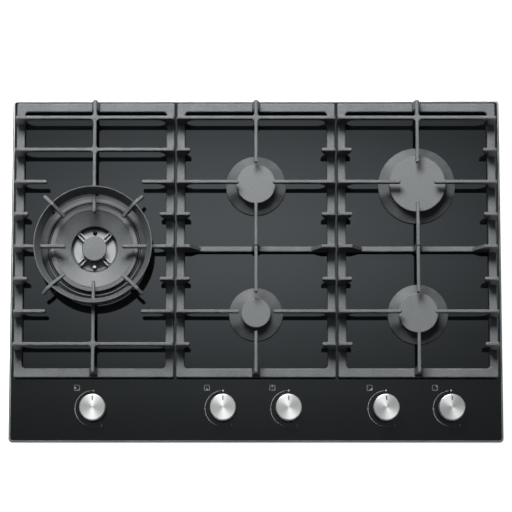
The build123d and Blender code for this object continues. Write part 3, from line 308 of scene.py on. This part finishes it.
def rolled_metal(name, base, roughness, metallic, grain_scale, depth, contrast=0.2):
    """Drawn or rolled metal with a fine grain and broad clouds of tone."""
    look = Look(name, base, roughness, metallic)
    grain = look.noise(grain_scale, 3.0, 0.6)
    broad = look.noise(grain_scale * 0.11, 3.0, 0.6)
    clouds = look.span(broad, 0.35, 0.7, 0.0, 1.0)
    look.paint(look.blend(clouds, shade(base, 1.0 - contrast), shade(base, 1.0 + contrast)))
    look.polish(look.span(grain, 0.3, 0.7, roughness * 0.82, min(roughness * 1.2, 1.0)))
    look.bump(grain, depth, 0.7)
    return look


def galvanised_sheet():
    """Zinc spangle: large facets, each a slightly different grey."""
    base = (0.38, 0.39, 0.4)
    look = Look("galvanised_sheet", base, 0.42, 0.85)
    spangle = look.node("ShaderNodeTexVoronoi", Vector=look.object_point(), Scale=95.0)
    apart = look.node("ShaderNodeSeparateColor", Color=spangle.outputs["Color"])
    facet = apart.outputs[0]
    look.paint(look.blend(facet, shade(base, 0.78), shade(base, 1.12)))
    look.polish(look.span(facet, 0.0, 1.0, 0.36, 0.52))
    look.bump(look.noise(300.0, 3.0), 0.00006, 0.6)
    return look


def rubber(name, base, roughness, scale, depth):
    """Rubber or plastic with a fine skin and a little dust."""
    look = Look(name, base, roughness)
    skin = look.noise(scale, 3.0, 0.6)
    dust = look.noise(scale * 0.06, 3.0, 0.6)
    look.paint(look.blend(look.span(dust, 0.4, 0.75, 0.0, 1.0), base, shade(base, 1.7)))
    look.polish(look.span(skin, 0.3, 0.7, roughness * 0.9, min(roughness * 1.1, 1.0)))
    look.bump(skin, depth, 0.8)
    return look


def ceramic_rod():
    """White glazed body with an uncoated steel tip."""
    look = Look("ceramic_rod", (0.82, 0.8, 0.76), 0.22, 0.0)
    apart = look.node("ShaderNodeSeparateXYZ", Vector=look.object_point())
    tip = look.span(apart.outputs["Z"], TIP_START, TIP_START + 0.0004, 0.0, 1.0)
    glaze = look.noise(500.0, 3.0)
    body = look.blend(glaze, (0.78, 0.75, 0.7), (0.86, 0.84, 0.8))
    look.paint(look.blend(tip, body, (0.5, 0.49, 0.47)))
    look.polish(look.span(tip, 0.0, 1.0, 0.22, 0.4))
    look.bump(glaze, 0.00005, 0.6)
    return look


def probe_copper():
    """Copper lead; the probe's tip above the glass is scorched dark."""
    look = rolled_metal("probe_copper", (0.62, 0.34, 0.2), 0.34, 1.0, 700.0, 0.00004, 0.15)
    copper = look.shader.inputs["Base Color"].links[0].from_socket
    apart = look.node("ShaderNodeSeparateXYZ", Vector=look.object_point())
    scorched = look.span(apart.outputs["Z"], GLASS_TOP - 0.004, GLASS_TOP, 0.0, 1.0)
    look.paint(look.blend(scorched, copper, (0.045, 0.04, 0.038)))
    return look


def print_ink():
    """Grey screen-printed ink."""
    look = Look("print_ink", (0.42, 0.43, 0.43), 0.5)
    grain = look.noise(2400.0, 2.0)
    patches = look.span(grain, 0.35, 0.65, 0.0, 1.0)
    look.paint(look.blend(patches, (0.37, 0.38, 0.38), (0.48, 0.49, 0.49)))
    look.bump(grain, 0.00001, 0.5)
    return look


LOOKS = {
    "black_glass": black_glass(),
    "trim_metal": trim_metal(),
    "gasket_foam": rubber("gasket_foam", (0.02, 0.02, 0.021), 0.9, 900.0, 0.0003),
    "galvanised_sheet": galvanised_sheet(),
    "screw_steel": rolled_metal("screw_steel", (0.55, 0.55, 0.53), 0.3, 1.0, 700.0, 0.00005),
    "cast_grate": cast_iron(),
    "black_rubber": rubber("black_rubber", (0.018, 0.018, 0.018), 0.72, 700.0, 0.00012),
    "enamelled_cap": enamelled_cap(),
    "burner_crown": burner_crown(),
    "cast_cup": cast_cup(),
    "brushed_knob": brushed_knob(),
    "valve_metal": rolled_metal("valve_metal", (0.52, 0.53, 0.54), 0.45, 0.9, 450.0, 0.0002),
    "valve_steel": rolled_metal("valve_steel", (0.5, 0.5, 0.5), 0.26, 1.0, 900.0, 0.00004),
    "brass": rolled_metal("brass", (0.72, 0.52, 0.24), 0.28, 1.0, 800.0, 0.00005, 0.12),
    "steel_pipe": rolled_metal("steel_pipe", (0.42, 0.43, 0.44), 0.4, 0.95, 500.0, 0.00008),
    "aluminium_pipe": rolled_metal("aluminium_pipe", (0.72, 0.73, 0.74), 0.34, 1.0, 600.0, 0.00005, 0.12),
    "ceramic": ceramic_rod(),
    "probe_copper": probe_copper(),
    "module_plastic": rubber("module_plastic", (0.03, 0.03, 0.032), 0.5, 1300.0, 0.0001),
    "lead_silicone": rubber("lead_silicone", (0.5, 0.48, 0.45), 0.55, 900.0, 0.00006),
    "harness_plastic": rubber("harness_plastic", (0.045, 0.045, 0.048), 0.48, 1200.0, 0.00008),
}
INK = print_ink()

for node in nodes.values():
    for slot in node.material_slots:
        slot.material = LOOKS[slot.material.name.split(".")[0]].material


# ---------------------------------------------------------------- printed marks

INK_LOW = GLASS_TOP - 0.00002
INK_HIGH = GLASS_TOP + 0.00004
LINE = 0.00042
KNOB_XS = [(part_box(f"knob_{i}")[0].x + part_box(f"knob_{i}")[1].x) / 2 for i in range(1, 6)]
KNOB_Y = (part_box("knob_1")[0].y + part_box("knob_1")[1].y) / 2
ARC_RADIUS = 0.0273
ARC_STEPS = 64
OFF_ANGLE = math.radians(90)
ARC_START = math.radians(97)
ARC_END = math.radians(284)
LOW_FLAME_ANGLE = math.radians(297)
HIGH_FLAME_ANGLE = math.radians(181)
HIGH_FLAME_GAP = math.radians(6)
OFF_DOT = 0.0012
HIGH_FLAME_HEIGHT = 0.0042
LOW_FLAME_HEIGHT = 0.005
LOW_FLAME_WIDTH = 0.0028
LOW_FLAME_OUT = 0.0012
ICON_OFFSET = Vector((-0.0245, 0.0315))
ICON_SIZE = 0.0084
ICON_LINE = 0.0004
ICON_DOTS = {True: 0.0011, False: 0.0003}
ICON_PLACES = ((-0.3, 0.0), (0.0, 0.27), (0.0, -0.27), (0.3, 0.27), (0.3, -0.27))
CHOSEN_BURNER = {1: 0, 2: 2, 3: 1, 4: 4, 5: 3}


def slab(mesh, outline):
    """A thin closed prism of ink over a flat outline, given anticlockwise."""
    low = [mesh.verts.new((x, y, INK_LOW)) for x, y in outline]
    high = [mesh.verts.new((x, y, INK_HIGH)) for x, y in outline]
    mesh.faces.new(high)
    mesh.faces.new(low[::-1])
    count = len(outline)
    for i in range(count):
        j = (i + 1) % count
        mesh.faces.new((low[i], low[j], high[j], high[i]))


def stroke(mesh, centre, radius, start, end, width_start, width_end, steps=ARC_STEPS):
    """An arc of ink whose line swells from width_start to width_end."""
    inner, outer = [], []
    for i in range(steps + 1):
        share = i / steps
        angle = start + (end - start) * share
        half = (width_start + (width_end - width_start) * share) / 2
        for side, points in ((-half, inner), (half, outer)):
            reach = radius + side
            points.append((centre[0] + reach * math.cos(angle), centre[1] + reach * math.sin(angle)))
    for i in range(steps):
        corners = [outer[i], outer[i + 1], inner[i + 1], inner[i]]
        ring_piece(mesh, corners, first=i == 0, last=i == steps - 1)


def ring_piece(mesh, corners, first, last):
    """One four-sided stretch of a band of ink; only the first and the last one get an end face."""
    low = [mesh.verts.new((x, y, INK_LOW)) for x, y in corners]
    high = [mesh.verts.new((x, y, INK_HIGH)) for x, y in corners]
    mesh.faces.new(high)
    mesh.faces.new(low[::-1])
    sides = [(0, 1), (2, 3)]
    if last:
        sides.append((1, 2))
    if first:
        sides.append((3, 0))
    for i, j in sides:
        mesh.faces.new((low[i], low[j], high[j], high[i]))


def disc(mesh, centre, radius, steps=24):
    turns = [2 * math.pi / steps * i for i in range(steps)]
    slab(mesh, [(centre[0] + radius * math.cos(t), centre[1] + radius * math.sin(t)) for t in turns])


def drop(centre, height, width, steps=28):
    """A flame's teardrop outline, point upward."""
    points = []
    for i in range(steps):
        t = 2 * math.pi * i / steps
        x = width / 2 * math.sin(t) * math.sin(t / 2)
        y = height / 2 * math.cos(t)
        points.append((centre[0] - x, centre[1] + y))
    return points


def hollow(mesh, outer, inner):
    """The band between two outlines with the same number of points."""
    count = len(outer)
    for i in range(count):
        j = (i + 1) % count
        ring_piece(mesh, [outer[i], outer[j], inner[j], inner[i]], first=False, last=False)


def flame(mesh, centre, height):
    """A hollow flame drop."""
    width = height * 0.62
    hollow(mesh, drop(centre, height, width), drop(centre, height - 2 * LINE, width - 2 * LINE))


def rounded(centre, width, height, radius, steps=5):
    """The outline of a rectangle with round corners."""
    points = []
    for sx, sy, begin in ((1, 1, 0), (-1, 1, 90), (-1, -1, 180), (1, -1, 270)):
        corner = (centre[0] + sx * (width / 2 - radius), centre[1] + sy * (height / 2 - radius))
        for i in range(steps + 1):
            angle = math.radians(begin + 90 * i / steps)
            points.append((corner[0] + radius * math.cos(angle), corner[1] + radius * math.sin(angle)))
    return points


def burner_icon(mesh, centre, chosen):
    """A hob outline with a small dot for each burner; the chosen one is larger."""
    inside = ICON_SIZE - 2 * ICON_LINE
    hollow(mesh, rounded(centre, ICON_SIZE, ICON_SIZE, 0.0014), rounded(centre, inside, inside, 0.001))
    for i, (x, y) in enumerate(ICON_PLACES):
        disc(mesh, (centre[0] + x * ICON_SIZE, centre[1] + y * ICON_SIZE), ICON_DOTS[i == chosen], 12)


def knob_marks(number, chosen):
    """One knob's marks on the glass: off dot, flame-size arc with two drops, and the burner's place."""
    mesh = bmesh.new()
    centre = (KNOB_XS[number - 1], KNOB_Y)

    def at(angle, radius=ARC_RADIUS):
        return (centre[0] + radius * math.cos(angle), centre[1] + radius * math.sin(angle))

    before_flame = HIGH_FLAME_ANGLE - HIGH_FLAME_GAP
    after_flame = HIGH_FLAME_ANGLE + HIGH_FLAME_GAP
    disc(mesh, at(OFF_ANGLE), OFF_DOT)
    stroke(mesh, centre, ARC_RADIUS, ARC_START, before_flame, LINE * 0.7, LINE * 1.3)
    stroke(mesh, centre, ARC_RADIUS, after_flame, ARC_END, LINE * 1.3, LINE * 0.6)
    flame(mesh, at(HIGH_FLAME_ANGLE), HIGH_FLAME_HEIGHT)
    low_flame = at(LOW_FLAME_ANGLE, ARC_RADIUS + LOW_FLAME_OUT)
    slab(mesh, drop(low_flame, LOW_FLAME_HEIGHT, LOW_FLAME_WIDTH))
    burner_icon(mesh, (centre[0] + ICON_OFFSET.x, centre[1] + ICON_OFFSET.y), chosen)
    bmesh.ops.remove_doubles(mesh, verts=mesh.verts, dist=1e-7)
    data = bpy.data.meshes.new(f"dial_marks_{number}")
    mesh.to_mesh(data)
    mesh.free()
    data.materials.append(INK.material)
    piece = bpy.data.objects.new(f"dial_marks_{number}", data)
    bpy.context.scene.collection.objects.link(piece)
    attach(piece, "cooktop")


for number, chosen in CHOSEN_BURNER.items():
    knob_marks(number, chosen)


# ---------------------------------------------------------------- stage, light and camera

FLOOR_HALF = 16.0
FLOOR_Z = -0.0005
COOL_TINT = (0.84, 0.94, 1.0)
VEIL_TINT = (0.86, 0.95, 1.0)


def floor():
    """A pale floor that glows softly, so that it stays even behind the object."""
    data = bpy.data.meshes.new("floor")
    sides = ((-1, -1), (1, -1), (1, 1), (-1, 1))
    data.from_pydata([(FLOOR_HALF * x, FLOOR_HALF * y, FLOOR_Z) for x, y in sides], [], [(0, 1, 2, 3)])
    look = Look("pale_floor", (0.86, 0.86, 0.86), 0.8)
    look.shader.inputs["Emission Color"].default_value = (1.0, 1.0, 1.0, 1.0)
    look.shader.inputs["Emission Strength"].default_value = 0.98
    look.bump(look.noise(60.0, 3.0), 0.0002, 0.3)
    data.materials.append(look.material)
    made = bpy.data.objects.new("floor", data)
    bpy.context.scene.collection.objects.link(made)


def softbox(name, centre, target, width, depth, radiance, colour=(1.0, 1.0, 1.0)):
    """A rectangular area light of the given radiance, aimed at target."""
    data = bpy.data.lights.new(name, "AREA")
    data.shape = "RECTANGLE"
    data.size = width
    data.size_y = depth
    data.energy = radiance * math.pi * width * depth
    data.color = colour
    made = bpy.data.objects.new(name, data)
    bpy.context.scene.collection.objects.link(made)
    made.location = centre
    made.rotation_mode = "QUATERNION"
    made.rotation_quaternion = (Vector(target) - Vector(centre)).to_track_quat("-Z", "Y")
    made.visible_camera = False
    return made


def soft_edged(light, spread):
    """Fades a rectangular light from its middle to its edges, as a bell curve of the given spread."""
    light.data.use_nodes = True
    tree = light.data.node_tree
    emission = tree.nodes["Emission"]
    place = tree.nodes.new("ShaderNodeNewGeometry").outputs["Parametric"]
    middle = tree.nodes.new("ShaderNodeVectorMath")
    middle.operation = "SUBTRACT"
    tree.links.new(place, middle.inputs[0])
    middle.inputs[1].default_value = (0.5, 0.5, 0.0)
    apart = tree.nodes.new("ShaderNodeSeparateXYZ")
    tree.links.new(middle.outputs[0], apart.inputs[0])

    def step(operation, first, second=0.0):
        made = tree.nodes.new("ShaderNodeMath")
        made.operation = operation
        for socket, value in zip(made.inputs, (first, second)):
            if isinstance(value, bpy.types.NodeSocket):
                tree.links.new(value, socket)
            else:
                socket.default_value = value
        return made.outputs[0]

    total = 0.0
    for axis, width in zip("XY", spread):
        off_middle = step("DIVIDE", step("ABSOLUTE", apart.outputs[axis]), width)
        total = step("ADD", step("POWER", off_middle, 2.0), total)
    tree.links.new(step("EXPONENT", step("MULTIPLY", total, -0.5)), emission.inputs["Strength"])


def world():
    """Grey studio ceiling over bright walls that only reach a little above the horizon."""
    made = bpy.data.worlds.new("studio")
    bpy.context.scene.world = made
    made.use_nodes = True
    tree = made.node_tree
    background = tree.nodes["Background"]
    direction = tree.nodes.new("ShaderNodeTexCoord")
    apart = tree.nodes.new("ShaderNodeSeparateXYZ")
    ramp = tree.nodes.new("ShaderNodeMapRange")
    ramp.interpolation_type = "SMOOTHSTEP"
    tree.links.new(direction.outputs["Generated"], apart.inputs[0])
    tree.links.new(apart.outputs["Z"], ramp.inputs["Value"])
    ramp.inputs["From Min"].default_value = 0.08
    ramp.inputs["From Max"].default_value = 0.22
    ramp.inputs["To Min"].default_value = 0.22
    ramp.inputs["To Max"].default_value = 0.02
    tree.links.new(ramp.outputs[0], background.inputs["Strength"])
    background.inputs["Color"].default_value = (0.97, 0.985, 1.0, 1.0)


def camera():
    """The camera tilted a little from straight above, as the photograph is seen."""
    data = bpy.data.cameras.new("camera")
    data.sensor_width = SENSOR
    data.lens = SENSOR / 2 / (FRAME_WIDTH / 2 / CAMERA_DISTANCE)
    data.clip_start = 0.1
    data.clip_end = 60.0
    made = bpy.data.objects.new("camera", data)
    bpy.context.scene.collection.objects.link(made)
    back = Vector((0.0, -math.sin(CAMERA_TILT), math.cos(CAMERA_TILT)))
    made.location = LOOK_AT + back * CAMERA_DISTANCE
    made.rotation_mode = "QUATERNION"
    made.rotation_quaternion = (-back).to_track_quat("-Z", "Y")
    bpy.context.scene.camera = made


floor()
overhead = softbox("overhead_softbox", (-0.07, 0.38, 1.8), (-0.07, 0.38, 0.0), 2.4, 1.5, 1.8, COOL_TINT)
soft_edged(overhead, (0.18, 0.14))
overhead.visible_diffuse = False
softbox("rear_key", (-0.36, 1.52, 1.92), (0.0, 0.05, 0.06), 1.3, 0.95, 24.0)
veil = softbox("overhead_veil", (0.0, 0.3, 3.2), (0.0, 0.3, 0.0), 7.0, 7.0, 0.19, VEIL_TINT)
veil.visible_diffuse = False
world()
camera()
bpy.context.scene.view_settings.view_transform = "Standard"
bpy.context.scene.view_settings.look = "None"

bpy.context.view_layer.update()
